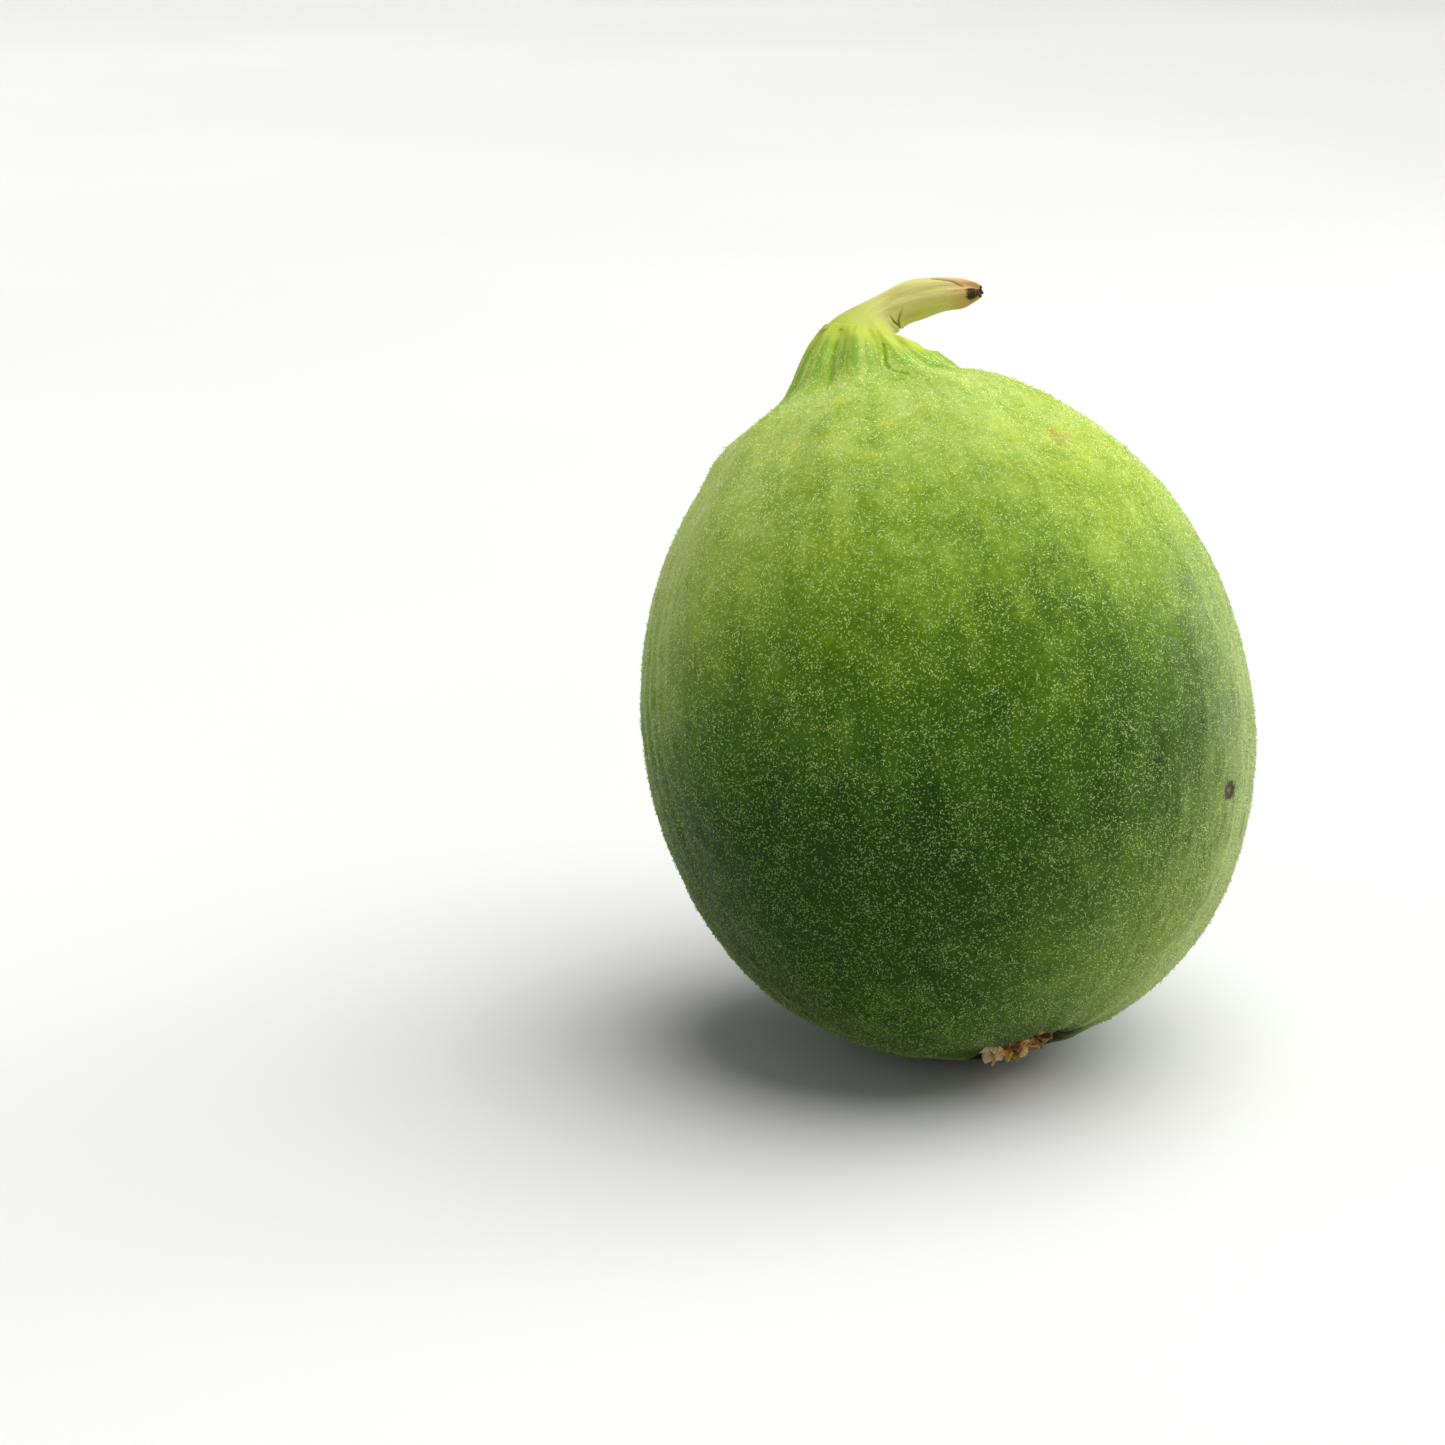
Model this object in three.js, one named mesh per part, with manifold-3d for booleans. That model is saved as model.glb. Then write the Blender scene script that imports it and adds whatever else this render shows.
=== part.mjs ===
// A round, downy cucumber, picked with a stub of its stem and with its dried flower still on.
// Millimetres, +Z up, +X to the right, -Y to the front.
//
// The pieces are shaped around the fruit's axis, which starts at the blossom end and runs up to
// the stem. The axis is then leaned over and the fruit is set down on the ground, which has
// pressed a small flat into it.

import * as THREE from "three";
import { mergeVertices } from "three/addons/utils/BufferGeometryUtils.js";
import Module from "manifold-3d";

const wasm = await Module();
wasm.setup();

const { clamp, degToRad, lerp, smoothstep } = THREE.MathUtils;

// Body, measured along and across the fruit's axis
const BODY_RADIUS = 49.8;
const LOWER_LENGTH = 56; // blossom end to the widest ring
const UPPER_LENGTH = 58.4; // widest ring to where the shoulders would meet
const LOWER_BLUNTNESS = 2.1; // exponent of the lower outline, where 2 is an ellipse
const RIB_COUNT = 10;
const BODY_RIB_DEPTH = 0.25;
const RIB_FADE = 14; // stretch above the blossom end over which the ribs grow

// Neck, which rises out of the shoulders and turns towards the stem
const NECK_RISE = 7.2; // collar above the point where the shoulders would meet
const NECK_LENGTH = 9;
const NECK_FLARE = 10.2; // how much wider the neck is at the shoulders than at the collar
const NECK_BLEND = 3;
const NECK_FOLD_DEPTH = 0.7;
const ROLL_HEIGHT = 2.5; // roll of flesh that the bending stem squeezes up on the +X side
const ROLL_LENGTH = 2.2;
const ROLL_DROP = 3; // its middle, below the collar
const ROLL_SHARPNESS = 6; // how narrow it is around the neck
const TURN_LENGTH = 12; // stretch below the collar over which the axis turns
const COLLAR_RADIUS = 6.2;
const COLLAR_OFFSET = -0.8; // sideways, along X
const COLLAR_TILT = degToRad(25); // towards +X

// Stem
const STEM_RISE = 5; // how far it keeps the collar's direction
const STEM_REACH = 19.7; // collar to tip, along X
const STEM_FORWARD = 3; // collar to tip, towards the front
const STEM_LIFT = 3.4; // tip above the collar
const STEM_DROOP = 2.2; // how far the tip hangs below the bend
const STEM_BEND_REACH = 12; // bend to tip, along X
const STEM_BEND_FORWARD = 2.4; // bend to tip, towards the front
const STEM_RADIUS = 3.5; // just above the flare
const STEM_TIP_RADIUS = 1.9;
const STEM_FLARE_LENGTH = 2.4;
const STEM_RIB_COUNT = 5;
const STEM_RIB_DEPTH = 0.18;
const STEM_END_ROUNDING = 0.6;

// Dried flower, five withered petals pressed flat against the blossom end
const FLOWER_RADIUS = 6;
const FLOWER_THICKNESS = 1.9;
const FLOWER_SHIFT = new THREE.Vector2(0.3, -2.2); // centre, off the fruit's axis
const FLOWER_PROUD = 0.7; // its outer face, below the fruit's blossom end
const PETAL_COUNT = 5;
const PETAL_LOBE = 0.5;
const PETAL_RIPPLE = 0.3;

// How it lies
const LEAN_LEFT = degToRad(11);
const LEAN_BACK = degToRad(24);
const REST_DEPTH = 1.5; // how much the ground has flattened the fruit
const CLEARANCE = 0.3; // gap between touching pieces

// Mesh fineness
const BODY_RINGS = 40;
const BODY_SEGMENTS = 64;
const STEM_RINGS = 22;
const STEM_SEGMENTS = 20;
const FLOWER_RINGS = 8;
const FLOWER_SEGMENTS = 40;

// Worked out from the sizes above
const COLLAR_HEIGHT = LOWER_LENGTH + UPPER_LENGTH + NECK_RISE;
const COLLAR_CENTRE = new THREE.Vector3(COLLAR_OFFSET, 0, COLLAR_HEIGHT);
const COLLAR_DIRECTION = new THREE.Vector3(Math.sin(COLLAR_TILT), 0, Math.cos(COLLAR_TILT));

// A lathed solid around +Z. Its heights run upwards and radiusAt gives the outline.
function lathed(heights, radiusAt, segments) {
  const top = heights.at(-1);
  const outline = heights.map((height) => new THREE.Vector2(radiusAt(height), height));
  const profile = [new THREE.Vector2(0, heights[0]), ...outline, new THREE.Vector2(0, top)];
  return closed(new THREE.LatheGeometry(profile, segments).rotateX(Math.PI / 2));
}

// Joins the seams and poles of a geometry and drops the faces that have no area.
function closed(geometry) {
  geometry.deleteAttribute("normal");
  geometry.deleteAttribute("uv");
  const merged = mergeVertices(geometry, 1e-4);
  const corners = merged.getIndex().array;
  const kept = [];
  for (let i = 0; i < corners.length; i += 3) {
    const [a, b, c] = corners.slice(i, i + 3);
    if (a !== b && b !== c && c !== a) kept.push(a, b, c);
  }
  merged.setIndex(kept);
  return merged;
}

// Moves every vertex of a geometry to where shape puts it.
function reshaped(geometry, shape) {
  const position = geometry.getAttribute("position");
  const point = new THREE.Vector3();
  for (let i = 0; i < position.count; i += 1) {
    point.fromBufferAttribute(position, i);
    position.setXYZ(i, ...shape(point));
  }
  return geometry;
}

// Puts a point given across a ring at its place, where the ring's axis points along direction.
function onRing(across, centre, direction) {
  const side = new THREE.Vector3(0, 1, 0).cross(direction).normalize();
  const front = direction.clone().cross(side);
  return centre.clone().addScaledVector(side, across.x).addScaledVector(front, across.y);
}

function toManifold(geometry) {
  const vertProperties = new Float32Array(geometry.getAttribute("position").array);
  const triVerts = new Uint32Array(geometry.getIndex().array);
  return new wasm.Manifold(new wasm.Mesh({ numProp: 3, vertProperties, triVerts }));
}

function fromManifold(solid) {
  const { vertProperties, triVerts } = solid.getMesh();
  const geometry = new THREE.BufferGeometry();
  geometry.setAttribute("position", new THREE.BufferAttribute(vertProperties, 3));
  geometry.setIndex(new THREE.BufferAttribute(triVerts, 1));
  return geometry;
}

function cut(geometry, tool) {
  return fromManifold(toManifold(geometry).subtract(toManifold(tool)));
}

// Half-width of the fruit: two rounded ends, and the neck where it is the wider of them.
function bodyRadius(height) {
  const lower = Math.max(0, 1 - height / LOWER_LENGTH);
  const upper = Math.min(1, Math.max(0, height - LOWER_LENGTH) / UPPER_LENGTH);
  const lowerWidth = (1 - lower ** LOWER_BLUNTNESS) ** (1 / LOWER_BLUNTNESS);
  const round = BODY_RADIUS * lowerWidth * Math.sqrt(1 - upper ** 2);
  const neck = COLLAR_RADIUS + NECK_FLARE * Math.tanh((COLLAR_HEIGHT - height) / NECK_LENGTH);
  const blend = NECK_BLEND * smoothstep(height, LOWER_LENGTH, LOWER_LENGTH + UPPER_LENGTH);
  const wider = (round + neck + Math.hypot(round - neck, blend)) / 2;
  return lerp(round, wider, smoothstep(height, LOWER_LENGTH / 2, LOWER_LENGTH));
}

// Soft ribs down the body, which gather into folds on the neck and end at the collar.
function ribHeight(height, angle) {
  const neckFoot = COLLAR_HEIGHT - NECK_LENGTH;
  const depth = lerp(BODY_RIB_DEPTH, NECK_FOLD_DEPTH, smoothstep(height, LOWER_LENGTH, neckFoot) ** 3);
  const awayFromEnds = smoothstep(height, 0, RIB_FADE) * belowCollar(height);
  return depth * Math.cos(RIB_COUNT * angle) * awayFromEnds;
}

function rollHeight(height, angle) {
  const along = (COLLAR_HEIGHT - ROLL_DROP - height) / ROLL_LENGTH;
  const around = Math.max(0, Math.cos(angle)) ** ROLL_SHARPNESS;
  return ROLL_HEIGHT * Math.exp(-(along ** 2)) * around * belowCollar(height);
}

// 0 at the collar, where the stem sits, and 1 from the roll of flesh downwards.
function belowCollar(height) {
  return smoothstep(COLLAR_HEIGHT - height, 0, ROLL_DROP);
}

function bodyPoint(point) {
  const turn = smoothstep(point.z, COLLAR_HEIGHT - TURN_LENGTH, COLLAR_HEIGHT);
  const tilt = COLLAR_TILT * turn;
  const direction = new THREE.Vector3(Math.sin(tilt), 0, Math.cos(tilt));
  const centre = new THREE.Vector3(COLLAR_OFFSET * turn, 0, point.z);
  const across = new THREE.Vector2(point.x, point.y);
  const radius = across.length();
  if (radius > 0) {
    across.setLength(radius + ribHeight(point.z, across.angle()));
    centre.addScaledVector(direction, rollHeight(point.z, across.angle()));
  }
  return onRing(across, centre, direction);
}

function makeBody() {
  // The rings lie closer together towards both ends.
  const heights = Array.from(
    { length: BODY_RINGS },
    (_, i) => (COLLAR_HEIGHT * (1 - Math.cos((Math.PI * (i + 1)) / BODY_RINGS))) / 2,
  );
  return reshaped(lathed([0, ...heights], bodyRadius, BODY_SEGMENTS), bodyPoint);
}

// The stem leaves the collar square to it, bends over and ends almost level.
function stemCurve() {
  const start = COLLAR_CENTRE.clone().addScaledVector(COLLAR_DIRECTION, CLEARANCE);
  const tip = COLLAR_CENTRE.clone().add(new THREE.Vector3(STEM_REACH, -STEM_FORWARD, STEM_LIFT));
  const rise = start.clone().addScaledVector(COLLAR_DIRECTION, STEM_RISE);
  const fromTip = new THREE.Vector3(-STEM_BEND_REACH, STEM_BEND_FORWARD, STEM_DROOP);
  const bend = tip.clone().add(fromTip);
  return new THREE.CubicBezierCurve3(start, rise, bend, tip);
}

function makeStem() {
  const curve = stemCurve();
  const length = curve.getLength();
  const radiusAt = (height) => {
    const straight = lerp(STEM_RADIUS, STEM_TIP_RADIUS, height / length);
    const flare = (COLLAR_RADIUS - STEM_RADIUS) * Math.exp(-height / STEM_FLARE_LENGTH);
    const intoEnd = Math.max(0, height - length + STEM_END_ROUNDING);
    return straight + flare - (STEM_END_ROUNDING / 2) * (intoEnd / STEM_END_ROUNDING) ** 2;
  };
  const heights = Array.from({ length: STEM_RINGS + 1 }, (_, i) => (length * i) / STEM_RINGS);
  return reshaped(lathed(heights, radiusAt, STEM_SEGMENTS), (point) => {
    const along = clamp(point.z / length, 0, 1);
    const across = new THREE.Vector2(point.x, point.y);
    const radius = across.length();
    const rib = STEM_RIB_DEPTH * Math.cos(STEM_RIB_COUNT * across.angle());
    const ribbed = rib * smoothstep(point.z, 0, STEM_FLARE_LENGTH);
    if (radius > 0) across.setLength(radius + ribbed);
    return onRing(across, curve.getPointAt(along), curve.getTangentAt(along));
  });
}

// The flower as a lens of lobed, rippled petals. Its seat in the fruit is the same lens, grown.
function makeFlower(grown) {
  const reach = FLOWER_RADIUS + grown;
  const thickness = FLOWER_THICKNESS + 2 * grown;
  const heights = Array.from(
    { length: FLOWER_RINGS + 1 },
    (_, i) => (-thickness / 2) * Math.cos((Math.PI * i) / FLOWER_RINGS),
  );
  const radiusAt = (height) => reach * Math.sqrt(Math.max(0, 1 - (2 * height / thickness) ** 2));
  const lens = reshaped(lathed(heights, radiusAt, FLOWER_SEGMENTS), (point) => {
    const outwards = Math.hypot(point.x, point.y) / reach;
    const wave = Math.cos(PETAL_COUNT * Math.atan2(point.y, point.x)) * outwards ** 2;
    const spread = 1 + (PETAL_LOBE * wave) / reach;
    return [point.x * spread, point.y * spread, point.z + PETAL_RIPPLE * wave];
  });
  return lens.translate(FLOWER_SHIFT.x, FLOWER_SHIFT.y, FLOWER_THICKNESS / 2 - FLOWER_PROUD);
}

// The ground, as a block whose top is REST_DEPTH above the fruit's lowest point.
function makeGround(fruit) {
  fruit.computeBoundingBox();
  const { min, max } = fruit.boundingBox;
  const depth = max.z - min.z;
  const ground = new THREE.BoxGeometry(2 * (max.x - min.x), 2 * (max.y - min.y), depth);
  ground.translate(0, 0, min.z + REST_DEPTH - depth / 2);
  return closed(ground);
}

function named(name, geometry, colour, roughness) {
  const material = new THREE.MeshStandardMaterial({ color: colour, roughness, metalness: 0 });
  const mesh = new THREE.Mesh(geometry, material);
  mesh.name = name;
  return mesh;
}

const lying = new THREE.Matrix4().makeRotationFromEuler(new THREE.Euler(-LEAN_BACK, -LEAN_LEFT, 0));
const whole = cut(makeBody(), makeFlower(CLEARANCE)).applyMatrix4(lying);
const ground = makeGround(whole);
const stem = makeStem().applyMatrix4(lying);
const flower = cut(makeFlower(0).applyMatrix4(lying), ground);

const cucumber = new THREE.Group();
cucumber.add(
  named("fruit", cut(whole, ground), "#5c8a26", 0.55),
  named("stem", stem, "#c6c86e", 0.6),
  named("blossom_remnant", flower, "#8f7440", 0.9),
);

// The middle of the footprint is on the Z axis and the ground is at zero.
const outer = new THREE.Box3().setFromObject(cucumber);
const middle = outer.getCenter(new THREE.Vector3());
cucumber.position.set(-middle.x, -middle.y, -outer.min.z);

export default cucumber;
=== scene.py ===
"""A round, downy cucumber: its skin with ribs, folds and a scar, the down that covers it, the
bent stub of stem and the dried flower at the blossom end, on a pale floor in soft light.

Shapes are worked out in millimetres along the fruit's own axis, which starts at the blossom end
and runs up to the stem. They are then leaned over and set down where the frame has them.
"""
import math

import bpy
import numpy as np
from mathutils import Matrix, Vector


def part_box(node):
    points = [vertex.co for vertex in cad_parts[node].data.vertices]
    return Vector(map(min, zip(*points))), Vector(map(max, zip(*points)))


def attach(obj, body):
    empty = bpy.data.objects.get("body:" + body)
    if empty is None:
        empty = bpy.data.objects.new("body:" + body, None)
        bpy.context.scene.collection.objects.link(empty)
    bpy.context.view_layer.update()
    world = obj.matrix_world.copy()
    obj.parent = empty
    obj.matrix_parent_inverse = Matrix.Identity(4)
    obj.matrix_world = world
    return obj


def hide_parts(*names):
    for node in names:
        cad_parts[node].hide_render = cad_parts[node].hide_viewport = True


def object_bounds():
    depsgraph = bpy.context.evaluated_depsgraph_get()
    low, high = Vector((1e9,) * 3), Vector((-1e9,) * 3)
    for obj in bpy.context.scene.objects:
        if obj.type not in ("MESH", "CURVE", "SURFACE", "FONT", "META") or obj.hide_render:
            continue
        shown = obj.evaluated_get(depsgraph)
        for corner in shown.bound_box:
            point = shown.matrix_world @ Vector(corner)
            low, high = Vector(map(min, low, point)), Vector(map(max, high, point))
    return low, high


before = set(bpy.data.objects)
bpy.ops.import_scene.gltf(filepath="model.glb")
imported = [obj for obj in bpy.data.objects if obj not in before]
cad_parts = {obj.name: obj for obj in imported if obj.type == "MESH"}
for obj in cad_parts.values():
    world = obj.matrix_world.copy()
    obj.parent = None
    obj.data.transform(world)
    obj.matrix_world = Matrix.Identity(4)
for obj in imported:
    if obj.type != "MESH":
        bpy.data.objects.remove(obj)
cad_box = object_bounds()

MM = 0.001
SEED = 7

# The fruit's outline, in millimetres: the CAD model's, but for a broader roll below the collar
# and a collar nearer the axis
BODY_RADIUS = 49.8
LOWER_LENGTH = 56
UPPER_LENGTH = 58.4
LOWER_BLUNTNESS = 2.1
RIB_COUNT = 10
BODY_RIB_DEPTH = 0.25
RIB_FADE = 14
NECK_RISE = 7.2
NECK_LENGTH = 9
NECK_FLARE = 10.2
NECK_BLEND = 3
NECK_FOLD_DEPTH = 0.7
ROLL_HEIGHT = 2.25
ROLL_LENGTH = 4.9
ROLL_DROP = 3.2
ROLL_SHARPNESS = 6
TURN_LENGTH = 12
COLLAR_RADIUS = 6.2
COLLAR_OFFSET = -0.12
COLLAR_TILT = math.radians(25)
COLLAR_HEIGHT = LOWER_LENGTH + UPPER_LENGTH + NECK_RISE

# The stem, in millimetres, close to the CAD model's
STEM_RISE = 5
STEM_REACH = 19.7
STEM_FORWARD = 3
STEM_LIFT = 3.4
STEM_DROOP = 1.5
STEM_BEND_REACH = 10.9
STEM_BEND_FORWARD = 2.4
STEM_RADIUS = 3.53
STEM_TIP_RADIUS = 2.15
STEM_TAPER_LENGTH = 5.4
STEM_TAPER = 0.51
STEM_FLARE_LENGTH = 2.4
TIP_SLANT = 0.3
STEM_RIB_COUNT = 5
STEM_RIB_DEPTH = 0.09
DRY_LENGTH = 9
DRY_SHRINKAGE = 0.25
DRY_ROUGHNESS = 1.3  # how much stronger the grooves and lumps are where it has dried
SCORCH_LENGTH = 3.6

# Flesh that swells on both sides of the collar, the stem's knee and the fold on the neck
SWELLING = 3.0
SWELLING_TURN = 0.2
SWELLING_RISE = 0.1
SWELLING_LENGTH = 2.4
SWELLING_SHARPNESS = 1.5
OUTER_SWELLING = 1.1
OUTER_SWELLING_LENGTH = 2
KNEE = 0.9
KNEE_PLACE = 11.5
KNEE_LENGTH = 4.2
NECK_BULGE = 2.2
NECK_BULGE_ANGLE = math.radians(-168)
NECK_BULGE_DROP = 13.7
NECK_BULGE_LENGTH = 5

# The dried flower's seat, off the axis at the blossom end
FLOWER_CENTRE = np.array([0.5, -3.6])
FLOWER_TILT = 0.14
CRATER_CENTRE = np.array([1.3, -5.0])
CRATER_RADIUS = 9.6
CRATER_DEPTH = 3.0

# How it lies
LEAN_LEFT = math.radians(11)
LEAN_BACK = math.radians(24)
REST_DEPTH = 1.5

# Where the fruit's skin and the stem pass into each other
OVERLAP = 1.2
OVERLAP_DIP = 0.35

# Creases in the skin: points as (height, angle in degrees), then width and depth.
# Angle -90 faces the front and 0 faces the side that the stem bends to.
CREASES = [
    ([(118.0, -82), (116, -85), (113.4, -87), (111.4, -85), (110, -80.5)], 0.24, 0.26),
    ([(112.4, -100), (110.5, -101), (108.4, -100)], 0.2, 0.12),
    ([(115.8, -113), (114, -113), (112.2, -111)], 0.2, 0.14),
    ([(117.5, -131), (114, -128), (110.5, -123)], 0.5, 0.22),
    ([(118.0, -66), (115.5, -68), (113.5, -65)], 0.25, 0.12),
    ([(117, -155), (113, -149), (108, -144)], 0.7, 0.4),
    ([(118, 65), (113, 60), (109, 62)], 0.3, 0.3),
    ([(119, 120), (114, 124), (110, 121)], 0.3, 0.3),
    ([(92, -89.6), (88, -90.6), (83.6, -92)], 0.3, 0.08),
]

# Folds inside the stem's bend, as (distance past the collar, angle), and a crack near its tip,
# as (distance from the tip, angle)
PINCHES = [
    [(6.3, 30), (6.1, -15), (6.5, -38), (7.2, -55), (8.1, -72)],
    [(6.0, -25), (5.5, -48), (5.4, -66)],
]
PINCH_DEPTH = 0.3
PINCH_WIDTH = 0.18
CRACK = [(-7.6, -152), (-5.5, -139), (-4.2, -135), (-2.6, -120)]
CRACK_DEPTH = 0.12
CRACK_WIDTH = 0.22

# Marks on the skin: places as (height, angle), sizes in millimetres
SCAR = (33.8, -31.9)
SCAR_SIZE = (1.6, 2.0)  # half-lengths along and across the fruit
SCAR_DEPTH = 0.35
PIN_SPOTS = [(80.1, -40.9, 0.45), (66, -28, 0.3), (58, -24, 0.28), (39.5, -103, 0.5), (90, -150, 0.3)]
BLOTCH = (93.7, -50)
BLOTCH_SIZE = 3.4

# Soft round areas: the middle as (height, angle), then size and amount. The first list makes the
# skin paler or darker, and two of its areas are painted shadow. The second greys the green where
# the down is dense and where sheen is painted on the flanks. DENTS are pressed in or raised.
TONES_AND_PAINTED_SHADOWS = [
    ((14, -36), 22, 0.24),
    # Painted shadow low on the left front, where a fruit beside it would shade it
    ((30, -145), 34, -0.3),
    ((82, -46), 18, 0.08),
    ((100, -125), 16, 0.1),
    ((41, -46), 8, -0.12),
    ((24, -98), 7, -0.07),
    ((47, -46), 12, -0.06),
    ((84, -68), 10, -0.1),
    ((52, -118), 14, 0.08),
    # Painted shade in the crevice between the skin and the dried flower
    ((2.4, -82), 5, -0.35),
    ((60, 60), 30, 0.12),
    ((40, 130), 26, -0.1),
]
DUST_AND_SHEEN_AREAS = [
    # The flanks are pale partly from dense down and partly from painted sheen, where the camera sees them
    # edge-on
    ((34, -16), 20, 0.5),
    ((12, -22), 24, 0.6),
    ((60, -14), 20, 0.4),
    ((88, -162), 22, 0.8),
    ((70, 100), 30, 0.3),
]
DENTS = [((1.3, -25), 7, -0.85)]
SUN_PATCH = (83, -44)
SUN_PATCH_SIZE = 21

# Uneven relief: the depth, size and seed of each set of waves
LUMPS = [(0.07, 30, 1), (0.05, 11, 2)]
GRAIN = [(0.03, 4.5, 3), (0.012, 2.6, 4)]
WRINKLES = [(0.1, 3.4, 11), (0.04, 1.5, 12)]
GROOVES = [(0.045, 2.2, 31), (0.012, 0.9, 32)]
STEM_LUMPS = [(0.12, 5, 33)]
CUT_ROUGHNESS = [(0.14, 1.2, 35)]

# Faint ridges on the flanks: the middle and the spacing of each group, in degrees
FLANK_RIDGES = [(-165, 5.2), (-8, 7), (70, 6), (140, 6.5)]
FLANK_RIDGE_DEPTH = 0.14
FLANK_RIDGE_SPREAD = 12
FLANK_RIDGE_HEIGHT = 66
FLANK_RIDGE_LENGTH = 24

# How finely the surfaces are divided
BODY_SPACING = 1.15
END_SPACING = 0.55
NECK_SPACING = 0.36
SKIN_SEGMENTS = 432
STEM_RINGS, STEM_SEGMENTS = 170, 120
STEM_END_RINGS = 12
PETAL_ROWS, PETAL_COLUMNS = 30, 24

# The withered petals, layer by layer: number, reach, half-width, height in the pit and curl
PETAL_LAYERS = [
    (6, 6.2, 3.8, 2.6, 0.5),
    (6, 5.8, 3.4, 2.0, 0.7),
    (5, 5.2, 3.0, 1.4, 0.8),
    (5, 4.2, 2.8, 0.8, 0.7),
]
PETAL_START = 0.8
PETAL_THICKNESS = 0.16
PETAL_CLEARANCE = 0.15

# The down, in two bands: where each starts, and where its hairs and its stubble end
DOWN_BANDS = [(2, 50, 50), (50, COLLAR_HEIGHT - 9, COLLAR_HEIGHT - 4)]
HAIRS = 21500  # on each band
STUBBLE = 46000
HAIR_LENGTH = 0.42
HAIR_LIMITS = (0.2, 1.0)
HAIR_THICKNESS = (0.05, 0.09)
STUBBLE_SIZE = 0.115
STUBBLE_LIMITS = (0.07, 0.2)
FLOOR_GAP = 0.02

# Colours, from the lowest value to the highest
SKIN_GREENS = [
    (0.0, "#1b3a04"),
    (0.2, "#2d5207"),
    (0.4, "#4a6c0e"),
    (0.6, "#6a8b1c"),
    (0.8, "#8aa53a"),
    (1.0, "#a6ba5a"),
]
DOWN_GREENS = [(0.0, "#75894e"), (0.2, "#9bb06c"), (0.45, "#b4c76e"), (0.7, "#c8d880"), (1.0, "#dde8a2")]
STEM_YELLOWS = [(0.0, "#c8c768"), (0.25, "#d3cb7a"), (0.6, "#d3c77c"), (1.0, "#d0b878")]
PETAL_BROWNS = [(0.0, "#5a4630"), (0.3, "#94703a"), (0.6, "#c9993f"), (0.85, "#dcb768"), (1.0, "#ead3a0")]
COLLAR_COLOUR = "#aebb46"

# The camera, in front and a little above. Its aim is left of the fruit, as shares of the
# fruit's width and height, and its distance is in widths.
CAMERA_ELEVATION = 17
CAMERA_LENS = 85
CAMERA_DISTANCE = 5.58
CAMERA_AIM = (-0.366, 0.4365)

# Light and floor. Distances and sizes are in diagonals of the fruit's box.
SUN_STRENGTH = 4.2
SUN_SPREAD = 75
SUN_DIRECTION = (0.42, 0.1, 1.0)
RIM_DIRECTION = (1.0, 0.55, 0.25)
RIM_DISTANCE = 4
RIM_SIZE = 2.5
RIM_POWER = 4
ROOM_STRENGTH = 0.22
FLOOR_SIZE = 16


def smoothstep(value, low, high):
    x = np.clip((value - low) / (high - low), 0, 1)
    return x * x * (3 - 2 * x)


def mix(a, b, share):
    return a + (b - a) * share


def random_waves(points, wavelength, seed, count=48):
    """A smooth random field over points, about -2 to 2, as a sum of waves in all directions."""
    chance = np.random.default_rng(SEED * 1000 + seed)
    turns = chance.normal(size=(count, 3))
    turns *= 2 * math.pi / wavelength / np.linalg.norm(turns, axis=1, keepdims=True)
    turns *= chance.uniform(0.6, 1.4, (count, 1))
    phases = chance.uniform(0, 2 * math.pi, count)
    total = np.zeros(points.shape[:-1])
    for turn, phase in zip(turns, phases):
        total += np.sin(points @ turn + phase)
    return total * math.sqrt(2 / count)


def waves(points, sets):
    """The sum of sets of random waves, each with its depth, size and seed."""
    return sum(depth * random_waves(points, size, seed) for depth, size, seed in sets)


# ------------------------ shapes along the fruit's axis


def body_radius(height):
    """Half-width of the fruit: two rounded ends, and the neck where it is the wider of them."""
    lower = np.maximum(0, 1 - height / LOWER_LENGTH)
    upper = np.clip((height - LOWER_LENGTH) / UPPER_LENGTH, 0, 1)
    lower_width = np.maximum(0, 1 - lower**LOWER_BLUNTNESS) ** (1 / LOWER_BLUNTNESS)
    rounded = BODY_RADIUS * lower_width * np.sqrt(1 - upper**2)
    neck = COLLAR_RADIUS + NECK_FLARE * np.tanh((COLLAR_HEIGHT - height) / NECK_LENGTH)
    blend = NECK_BLEND * smoothstep(height, LOWER_LENGTH, LOWER_LENGTH + UPPER_LENGTH)
    wider = (rounded + neck + np.hypot(rounded - neck, blend)) / 2
    return mix(rounded, wider, smoothstep(height, LOWER_LENGTH / 2, LOWER_LENGTH))


def stem_radius(along, length):
    """Half-width of the stem, from its flare at the collar to its shrunken tip."""
    straight = mix(STEM_RADIUS, STEM_TIP_RADIUS, along / length)
    flare = (COLLAR_RADIUS - STEM_RADIUS) * np.exp(-along / STEM_FLARE_LENGTH)
    taper = np.clip((along - length + STEM_TAPER_LENGTH) / STEM_TAPER_LENGTH, 0, 1)
    return straight * (1 - STEM_TAPER * (1 - np.sqrt(1 - 0.95 * taper**2))) + flare


def on_rings(across, centre, direction):
    """Places points given across their rings, whose axes point along direction."""
    side = np.cross([0.0, 1.0, 0.0], direction)
    side /= np.linalg.norm(side, axis=-1, keepdims=True)
    front = np.cross(direction, side)
    return centre + side * across[..., :1] + front * across[..., 1:]


def skin_spot(height, angle):
    """A spot on the skin in the fruit's own frame, in millimetres."""
    radius = float(body_radius(np.array(float(height))))
    turn = math.radians(angle)
    return (radius * math.cos(turn), radius * math.sin(turn), height)


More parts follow.
